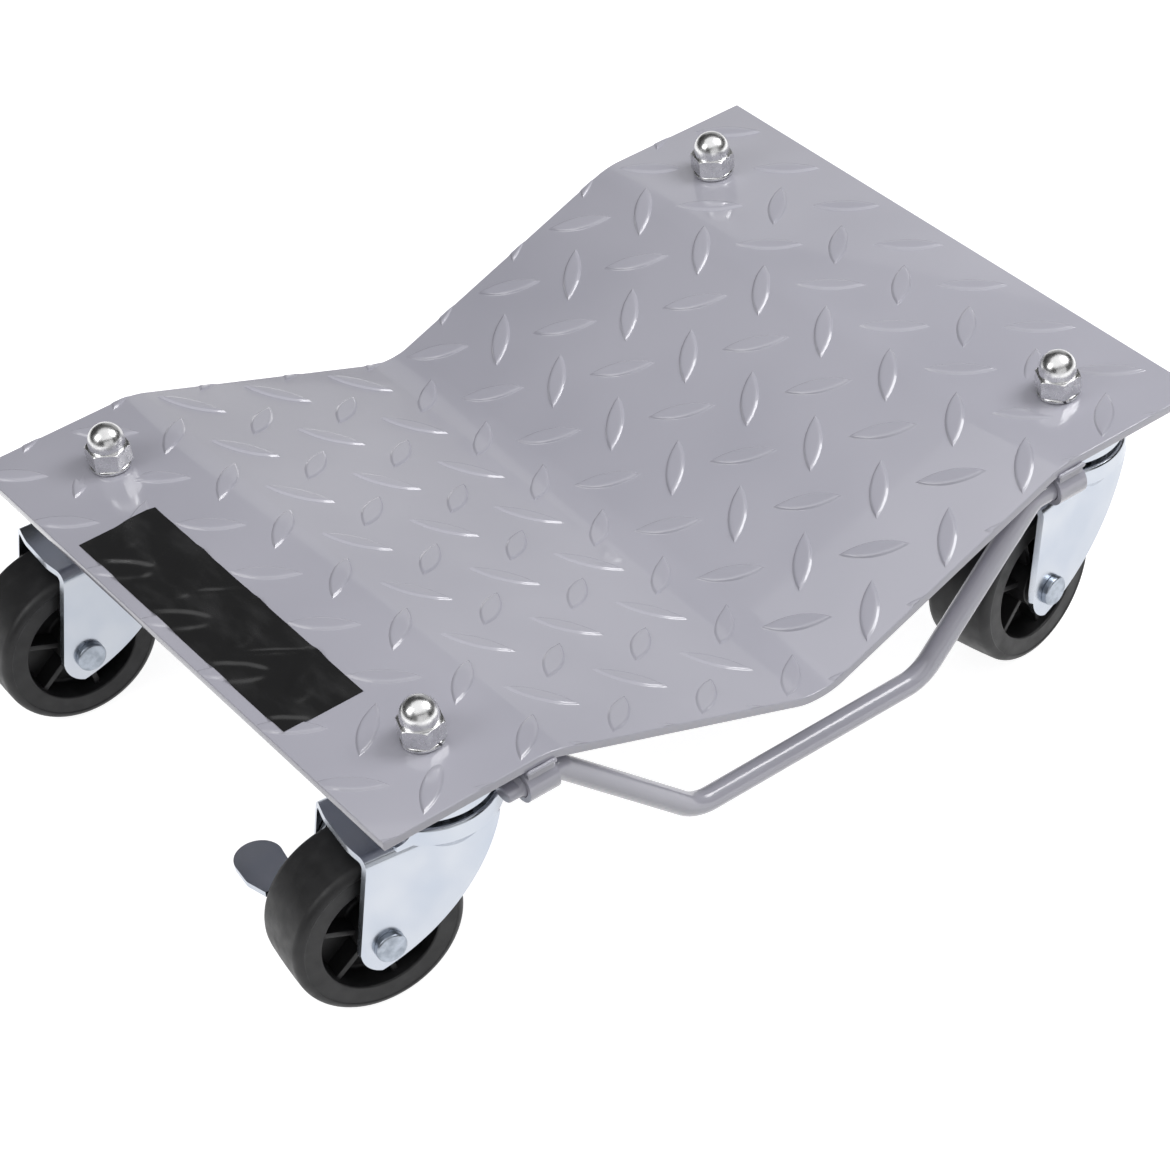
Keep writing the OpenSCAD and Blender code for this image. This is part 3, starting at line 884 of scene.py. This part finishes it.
    def bolt_gap(self, point: Vector) -> float:
        """Level distance from a place to the nearest bolt."""
        away = point - self.middle
        return math.hypot(abs(away.x) - self.bolt_x, abs(away.y) - self.bolt_y)

    def pressed(self, point: Vector) -> float:
        """How much of a lozenge's height is left at a place: none in the pressed ring round a bolt."""
        return eased((self.bolt_gap(point) - self.bolt_flat[0]) / (self.bolt_flat[1] - self.bolt_flat[0]))

    def rolled(self, point: Vector) -> float:
        """How much of a lozenge's height the shear leaves at a place near the plate's edges.

        Args:
            point: The place.

        Returns:
            The share that is left.
        """
        away = point - self.middle
        gap = min(self.length / 2 - abs(away.x), self.width / 2 - abs(away.y))
        return self.edge_left + (1 - self.edge_left) * eased(gap / self.edge_roll)

    def sticker(self, plate: bpy.types.Object) -> bpy.types.Object:
        """The blank sticker: a thin film that drapes over the tread with a few creases.

        Args:
            plate: The finished plate, which it is laid on.

        Returns:
            The sticker.
        """
        bm = bmesh.new()
        size = Vector((self.label_x[1] - self.label_x[0], self.label_y[1] - self.label_y[0]))
        bmesh.ops.create_grid(bm, x_segments=self.film_grid[0], y_segments=self.film_grid[1], size=0.5)
        bmesh.ops.scale(bm, verts=bm.verts, vec=(size.x, size.y, 1))
        middle = Vector((sum(self.label_x) / 2, sum(self.label_y) / 2, self.top))
        bmesh.ops.translate(bm, verts=bm.verts, vec=self.middle + middle)
        under = bmesh.new()
        under.from_mesh(plate.data)
        tree = BVHTree.FromBMesh(under)
        under.free()
        ground = {}
        for vert in bm.verts:
            hit = tree.ray_cast(vert.co + Vector((0, 0, self.film_drop)), Vector((0, 0, -1)))[0]
            ground[vert.index] = hit.z if hit else self.top
            vert.co.z = ground[vert.index]
        for _ in range(self.film_tent):
            raised = [max([v.co.z] + [edge.other_vert(v).co.z for edge in v.link_edges]) for v in bm.verts]
            for vert, height in zip(bm.verts, raised):
                vert.co.z = height
        for _ in range(self.film_smooth):
            bmesh.ops.smooth_vert(
                bm, verts=bm.verts, factor=0.5, use_axis_x=False, use_axis_y=False, use_axis_z=True,
            )
        for vert in bm.verts:
            vert.co.z = max(vert.co.z, ground[vert.index])
        for vert in bm.verts:
            vert.co.z += self.label_lift + self.crease(vert.co - self.middle - middle)
        bmesh.ops.solidify(bm, geom=bm.faces[:], thickness=self.film_t)
        bmesh.ops.recalc_face_normals(bm, faces=bm.faces)
        piece = as_piece(bm, "blank_sticker", angle=50.0)
        piece.data.materials.append(self.paintbox.vinyl)
        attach(piece, BODY_OF["deck_plate"])
        return piece

    def crease(self, spot: Vector) -> float:
        """Height of the film's creases at a place measured from the sticker's middle.

        Args:
            spot: The place.

        Returns:
            The height in metres.
        """
        height = 0.0
        fade = max(0.0, 1.0 - abs(spot.x - self.crease_middle) / self.crease_reach)
        for fold in self.creases:
            gap = (spot.y - fold.across - fold.lean * spot.x) / fold.wide
            height += fold.rise * math.exp(-gap * gap) * fade
        ripple = noise.noise(spot * self.ripples_per_metre)
        return height + max(0.0, ripple) * self.ripple_rise

    def build(self) -> None:
        """Make the plate, the sticker and the barrels, and dress them."""
        plate = self.plate()
        self.paintbox.dress(plate, Slot.PAINT)
        report(self.sticker(plate))
        for side in ("left", "right"):
            barrel = softened(f"bail_barrel_{side}", f"welded_barrel_{side}", self.barrel_edge_r)
            self.paintbox.dress(barrel, Slot.PAINT)
            self.paintbox.dress(self.weld_bead(side), Slot.PAINT)

    def weld_bead(self, side: str) -> bpy.types.Object:
        """The ripples of weld along a barrel's two upper edges, under the plate.

        Args:
            side: Which barrel.

        Returns:
            The bead.
        """
        low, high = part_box(f"bail_barrel_{side}")
        under = self.top - self.thick
        bm = bmesh.new()
        for row in self.bead_rows:
            for k in range(row.count):
                made = bmesh.ops.create_icosphere(bm, subdivisions=2, radius=row.radius)["verts"]
                wander = noise.noise(Vector((k, row.inward, low.x)) * Vector(self.bead_pattern))
                grown = 1.0 + self.bead_unevenness * wander
                bmesh.ops.scale(bm, verts=made, vec=[share * grown for share in self.bead_shape])
                x = low.x + self.bead_end + (high.x - low.x - 2 * self.bead_end) * k / (row.count - 1)
                y = low.y + row.inward + wander * self.bead_wander
                drop = max(0.0, self.fold_x - abs(x - self.middle.x)) * math.tan(self.slope)
                bmesh.ops.translate(bm, verts=made, vec=(x, y, under - drop - self.bead_sink))
        bead = as_piece(bm, f"weld_bead_{side}", angle=180.0)
        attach(bead, BODY_OF[f"bail_barrel_{side}"])
        return bead


# Fasteners, casters, brakes and bail


@dataclass
class Fasteners:
    """Cap nuts, spring washers and caster stems."""

    paintbox: Paintbox
    edge_r: float = 0.35 * MM

    def build(self) -> None:
        """Soften and dress each group."""
        for node, name, slot in (
            ("cap_nuts", "polished_cap_nuts", Slot.CHROME),
            ("spring_washers", "split_spring_washers", Slot.CHROME),
            ("caster_stems", "turned_caster_stems", Slot.ZINC),
        ):
            piece = softened(node, name, self.edge_r)
            self.paintbox.dress(piece, slot)


@dataclass
class MouldedWheel:
    """A black wheel: tyre ring with crisp rims, a sunk web with ribs, and a hub."""

    corner: str
    radius: float = 36.5 * MM
    half: float = 16 * MM
    recess_r: float = 25 * MM
    web_half: float = 3.5 * MM
    hub_r: float = 10 * MM
    hub_half: float = 16 * MM
    bore_r: float = 6.1 * MM
    shoulder_r: float = 4.2 * MM
    ring_sink: float = 0.45 * MM
    tread_crown: float = 0.25 * MM
    hub_round: float = 0.8 * MM
    root_r: float = 1.5 * MM
    recess_draft: float = 0.5 * MM
    lip_r: float = 0.9 * MM
    shoulder_arc: tuple = (74, 2, 7)
    hub_steps: int = 3
    round_steps: int = 4
    flash: tuple = ((1.1 * MM, 0.0), (0.75 * MM, 0.08 * MM))
    flash_foot: float = 0.45 * MM
    crown_step: tuple = (0.07 * MM, 0.4)
    rib_set_in: float = 1.5 * MM
    rib_edge_r: float = 0.5 * MM
    rib_count: int = 6
    rib_t: float = 2.6 * MM
    rib_sink: float = 4 * MM
    rib_turn: float = 20.0
    steps: int = 112

    def half_outline(self) -> list:
        """The section's upper half, from the bore out to the middle of the tread.

        Returns:
            Points of radius and height.
        """
        face = self.half - self.ring_sink
        centre = (self.radius - self.tread_crown - self.shoulder_r, self.half - self.shoulder_r)
        shoulder = arc(centre, self.shoulder_r, *self.shoulder_arc)
        rim, rim_height = shoulder[0]
        hub_centre = (self.hub_r - self.hub_round, self.hub_half - self.hub_round)
        hub_edge = arc(hub_centre, self.hub_round, 90, 0, self.hub_steps)
        root_height = self.web_half + self.root_r
        root = arc((self.hub_r + self.root_r, root_height), self.root_r, 180, 270, self.round_steps)
        far_root_x = self.recess_r - self.recess_draft - self.root_r
        far_root = arc((far_root_x, root_height), self.root_r, 270, 360, self.round_steps)
        lip = arc((self.recess_r + self.lip_r, face - self.lip_r), self.lip_r, 180, 90, self.round_steps)
        outline = [(self.bore_r, 0.0), (self.bore_r, self.hub_half), *hub_edge, *root, *far_root, *lip]
        outline += [(rim - inward, face + proud) for inward, proud in self.flash]
        outline += [(rim - self.flash_foot, rim_height), *shoulder]
        outline += [(self.radius - self.crown_step[0], self.half * self.crown_step[1]), (self.radius, 0.0)]
        return outline

    def build(self) -> bpy.types.Object:
        """Turn the wheel, set in its ribs and place it on its axle.

        Returns:
            The wheel.
        """
        upper = self.half_outline()
        lower = [(r, -z) for r, z in reversed(upper[1:-1])]
        bm = bmesh.new()
        lathe(bm, upper + lower, self.steps)
        for k in range(self.rib_count):
            turn = Matrix.Rotation(math.radians(self.rib_turn + 360 / self.rib_count * k), 4, "Z")
            long = self.recess_r - self.hub_r + self.rib_set_in
            tall = 2 * (self.half - self.rib_sink)
            middle = Matrix.Translation(((self.recess_r + self.hub_r) / 2, 0, 0))
            size = Matrix.Diagonal((long, self.rib_t, tall, 1.0))
            rib = bmesh.ops.create_cube(bm, size=1.0, matrix=turn @ middle @ size)["verts"]
            edges = list(dict.fromkeys(edge for vert in rib for edge in vert.link_edges))
            break_edges(bm, edges, self.rib_edge_r)
        joint = next(j for j in frame["joints"] if j["name"] == f"wheel_spin_{self.corner}")
        spot = Matrix.Translation(Vector(joint["pos_m"])) @ turned_to(Vector(joint["axis"]))
        bmesh.ops.transform(bm, matrix=spot, verts=bm.verts)
        piece = as_piece(bm, f"moulded_wheel_{self.corner}", angle=32.0)
        even_normals(piece)
        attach(piece, BODY_OF[f"wheel_{self.corner}"])
        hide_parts(f"wheel_{self.corner}")
        return piece


@dataclass
class SwivelCaster:
    """One caster: races, balls, fork, axle, sleeve and wheel."""

    corner: str
    paintbox: Paintbox
    cap_r: float = 0.5 * MM
    sheet_r: float = 0.55 * MM
    head_r: float = 0.3 * MM

    def build(self) -> None:
        """Make the wheel, soften the plated pieces and dress them all."""
        for node, name, radius, finish in (
            ("upper_race", "plated_race_cap", self.cap_r, None),
            ("fork", "pressed_fork", self.sheet_r, None),
            # The axle takes the zinc that is darkened as painted shade.
            ("axle", "riveted_axle", self.head_r, self.paintbox.rivet),
        ):
            piece = softened(f"{node}_{self.corner}", f"{name}_{self.corner}", radius)
            self.paintbox.dress(piece, Slot.ZINC, finish)
        wheel = MouldedWheel(self.corner).build()
        self.paintbox.dress(wheel, Slot.WHEEL)
        for node in ("upper_balls", "lower_balls", "lower_race", "axle_sleeve"):
            self.paintbox.dress(frame["nodes"][f"{node}_{self.corner}"], Slot.STEEL)


@dataclass
class FootBrake:
    """The brake lever with its pedal and shoe, and the rivet that it turns on."""

    corner: str
    paintbox: Paintbox
    lever_r: float = 0.5 * MM
    rivet_r: float = 0.3 * MM

    def build(self) -> None:
        """Soften and dress the lever and its rivet."""
        for node, name, radius in (
            ("brake_lever", "pressed_brake_lever", self.lever_r),
            ("brake_pivot", "brake_rivet", self.rivet_r),
        ):
            piece = softened(f"{node}_{self.corner}", f"{name}_{self.corner}", radius)
            self.paintbox.dress(piece, Slot.ZINC)


class BarBender:
    """Draws round bar as a tube, one straight run or bend after another, in the plane of x and z."""

    def __init__(self, start: Vector, radius: float, sides: int) -> None:
        """Begin with the bar's first ring, heading along +x.

        Args:
            start: Middle of the first ring.
            radius: Radius of the bar.
            sides: Number of points in a ring.
        """
        self.bm = bmesh.new()
        upright = Matrix.Translation(start) @ Matrix.Rotation(math.pi / 2, 4, "Y")
        bmesh.ops.create_circle(self.bm, segments=sides, radius=radius, matrix=upright)
        self.ring = self.bm.edges[:]
        self.spot = start.copy()
        self.heading = 0.0

    def along(self) -> Vector:
        """The direction in which the bar runs now."""
        return Vector((math.cos(self.heading), 0, math.sin(self.heading)))

    def straight(self, length: float) -> None:
        """Run on straight for a length.

        Args:
            length: The length in metres.
        """
        out = bmesh.ops.extrude_edge_only(self.bm, edges=self.ring)["geom"]
        step = self.along() * length
        moved = [item for item in out if isinstance(item, bmesh.types.BMVert)]
        bmesh.ops.translate(self.bm, verts=moved, vec=step)
        self.ring = [e for e in out if isinstance(e, bmesh.types.BMEdge) and set(e.verts) <= set(moved)]
        self.spot += step

    def bend(self, angle: float, radius: float, steps: int = 14) -> None:
        """Bend the bar upwards, or downwards where the angle is negative.

        Args:
            angle: The bend in radians.
            radius: Radius of the bend at the bar's middle.
            steps: Number of rings in the bend.
        """
        side = 1.0 if angle > 0 else -1.0
        across = Vector((-math.sin(self.heading), 0, math.cos(self.heading))) * side
        centre = self.spot + across * radius
        out = bmesh.ops.spin(
            self.bm, geom=self.ring, cent=centre, axis=(0, -1, 0), angle=angle, steps=steps,
            use_duplicate=False,
        )
        self.ring = [item for item in out["geom_last"] if isinstance(item, bmesh.types.BMEdge)]
        self.heading += angle
        self.spot = centre - Vector((-math.sin(self.heading), 0, math.cos(self.heading))) * side * radius


@dataclass
class Bail:
    """The swinging bail of bent round bar, with one end pressed flat."""

    paintbox: Paintbox
    bar_d: float = 10 * MM
    drop: float = 59.5 * MM
    span: float = 238.5 * MM
    foot: float = 116 * MM
    top_bend_r: float = 8 * MM
    foot_bend_r: float = 20 * MM
    tip_flat: float = 6 * MM
    tip_long: float = 6 * MM
    tip_taper: float = 1.5 * MM
    end_r: float = 0.8 * MM
    bar_sides: int = 40

    def build(self) -> None:
        """Bend the bar, press its end, round both ends and dress it."""
        low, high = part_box("bail_handle")
        hinge = next(j for j in frame["joints"] if j["name"] == "bail_swing")
        start = Vector((low.x, hinge["pos_m"][1], hinge["pos_m"][2]))
        middle = hinge["pos_m"][0]
        turn = math.atan(self.drop / ((self.span - self.foot) / 2))
        top_take = self.top_bend_r * math.tan(turn / 2)
        foot_take = self.foot_bend_r * math.tan(turn / 2)
        leg = self.drop / math.sin(turn) - top_take - foot_take
        bar = BarBender(start, self.bar_d / 2, self.bar_sides)
        bar.straight(self.tip_long)
        bar.straight(self.tip_taper)
        bar.straight(middle - self.span / 2 - top_take - low.x - self.tip_long - self.tip_taper)
        bar.bend(-turn, self.top_bend_r)
        bar.straight(leg)
        bar.bend(turn, self.foot_bend_r)
        bar.straight(self.foot - 2 * foot_take)
        bar.bend(turn, self.foot_bend_r)
        bar.straight(leg)
        bar.bend(-turn, self.top_bend_r)
        bar.straight(high.x - bar.spot.x)
        bm = bar.bm
        bmesh.ops.remove_doubles(bm, verts=bm.verts, dist=SAME_SPOT)
        for vert in bm.verts:
            if vert.co.x < low.x + self.tip_long + self.tip_taper / 2:
                vert.co.z = start.z + (vert.co.z - start.z) * self.tip_flat / self.bar_d
        bmesh.ops.holes_fill(bm, edges=[e for e in bm.edges if e.is_boundary], sides=0)
        bmesh.ops.recalc_face_normals(bm, faces=bm.faces)
        break_edges(bm, sharp_edges(bm, CORNER_ANGLE), self.end_r, segments=3)
        piece = as_piece(bm, "bent_bail_bar")
        even_normals(piece)
        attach(piece, BODY_OF["bail_handle"])
        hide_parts("bail_handle")
        self.paintbox.dress(piece, Slot.PAINT)


# Studio


@dataclass
class Softbox:
    """One rectangular soft light, placed by its direction from the dolly."""

    name: str
    azimuth: float
    elevation: float
    reach: float
    size: tuple
    power: float
    aim_height: float = 80 * MM

    def build(self) -> None:
        """Hang the light so that it faces the dolly."""
        lamp = bpy.data.lights.new(self.name, "AREA")
        lamp.shape = "RECTANGLE"
        lamp.size, lamp.size_y = self.size
        lamp.energy = self.power
        light = bpy.data.objects.new(self.name, lamp)
        bpy.context.scene.collection.objects.link(light)
        back = towards(self.azimuth, self.elevation)
        light.location = back * self.reach + Vector((0, 0, self.aim_height))
        light.rotation_mode = "QUATERNION"
        light.rotation_quaternion = (-back).to_track_quat("-Z", "Y")


@dataclass
class Studio:
    """Pale floor, soft lights and the camera that the photograph was taken from."""

    floor_size: float = 60.0
    floor_colour: tuple = (0.48, 0.48, 0.485)
    floor_lift: float = 0.92
    sky: float = 0.05
    azimuth: float = -32.63
    elevation: float = 39.07
    roll: float = 6.23
    distance: float = 1508.47 * MM
    aim_x: float = -1.32 * MM
    aim_y: float = -64.62 * MM
    deck_top: float = 107.5 * MM
    lens: float = 112.15
    sensor: float = 36.0
    sight: tuple = (0.05, 200.0)
    lights: tuple = (
        Softbox("softbox_right", 62.0, 48.0, 1.7, (0.8, 0.8), 14.0),
        Softbox("softbox_left", -100.0, 38.0, 1.8, (0.9, 0.9), 8.0),
        Softbox("softbox_top", -20.0, 78.0, 2.0, (3.0, 3.0), 28.0),
        Softbox("softbox_front", -14.0, 17.0, 2.2, (2.4, 1.1), 6.0),
        Softbox("softbox_low", 132.0, 15.0, 1.9, (1.8, 0.9), 2.0),
    )

    def floor(self) -> None:
        """Lay the floor, which the camera and the metal see as white, and which keeps the dolly's shadow."""
        bm = bmesh.new()
        bmesh.ops.create_grid(bm, x_segments=1, y_segments=1, size=self.floor_size / 2)
        floor = as_piece(bm, "studio_floor")
        tree = NodeTree("floor_white")
        tree.tree.nodes.remove(tree.shader)
        paths = tree.add("ShaderNodeLightPath")
        seen = paths.outputs["Is Camera Ray"]
        for name in ("Is Glossy Ray", "Is Transmission Ray"):
            either = tree.add("ShaderNodeMath", operation="MAXIMUM")
            tree.link(seen, either.inputs[0])
            tree.link(paths.outputs[name], either.inputs[1])
            seen = either.outputs[0]
        lift = tree.add("ShaderNodeMath", operation="MULTIPLY")
        lift.inputs[1].default_value = self.floor_lift
        tree.link(seen, lift.inputs[0])
        matt = tree.add("ShaderNodeBsdfDiffuse")
        matt.inputs["Color"].default_value = (*self.floor_colour, 1.0)
        glow = tree.add("ShaderNodeEmission")
        tree.link(lift.outputs[0], glow.inputs["Strength"])
        both = tree.add("ShaderNodeAddShader")
        tree.link(matt.outputs[0], both.inputs[0])
        tree.link(glow.outputs[0], both.inputs[1])
        tree.link(both.outputs[0], tree.tree.nodes["Material Output"].inputs["Surface"])
        floor.data.materials.append(tree.material)

    def world(self) -> None:
        """Light everything evenly with a pale sky."""
        world = bpy.data.worlds.new("pale_room")
        bpy.context.scene.world = world
        world.use_nodes = True
        ground = world.node_tree.nodes["Background"]
        ground.inputs["Color"].default_value = (1.0, 1.0, 1.0, 1.0)
        ground.inputs["Strength"].default_value = self.sky

    def camera(self, middle: Vector) -> None:
        """Place the camera where the photograph's was.

        Args:
            middle: The deck's middle in the frame.
        """
        back = towards(self.azimuth, self.elevation)
        right = (-back).cross(Vector((0, 0, 1))).normalized()
        down = (-back).cross(right)
        turn = math.radians(self.roll)
        row_right = right * math.cos(turn) + down * math.sin(turn)
        row_down = down * math.cos(turn) - right * math.sin(turn)
        place = back * self.distance - row_right * self.aim_x - row_down * self.aim_y
        data = bpy.data.cameras.new("photo_camera")
        data.lens = self.lens
        data.sensor_width = self.sensor
        data.clip_start, data.clip_end = self.sight
        camera = bpy.data.objects.new("photo_camera", data)
        bpy.context.scene.collection.objects.link(camera)
        axes = Matrix((row_right, -row_down, back)).transposed().to_4x4()
        camera.matrix_world = Matrix.Translation(middle + Vector((0, 0, self.deck_top)) + place) @ axes
        bpy.context.scene.camera = camera

    def build(self, middle: Vector) -> None:
        """Set up the floor, the lights and the camera round the deck's middle.

        Args:
            middle: The deck's middle in the frame.
        """
        self.floor()
        self.world()
        for light in self.lights:
            light.build()
        self.camera(middle)
        bpy.context.scene.view_settings.view_transform = "Standard"


def main() -> None:
    """Build the dolly's looks and the studio."""
    logging.basicConfig(level=logging.INFO, format="%(name)s %(message)s")
    paintbox = Paintbox()
    deck = TreadDeck(paintbox)
    deck.build()
    Fasteners(paintbox).build()
    for corner in CORNERS:
        SwivelCaster(corner, paintbox).build()
    for corner in BRAKED:
        FootBrake(corner, paintbox).build()
    Bail(paintbox).build()
    Studio().build(deck.middle)


if __name__ == "__main__":
    main()
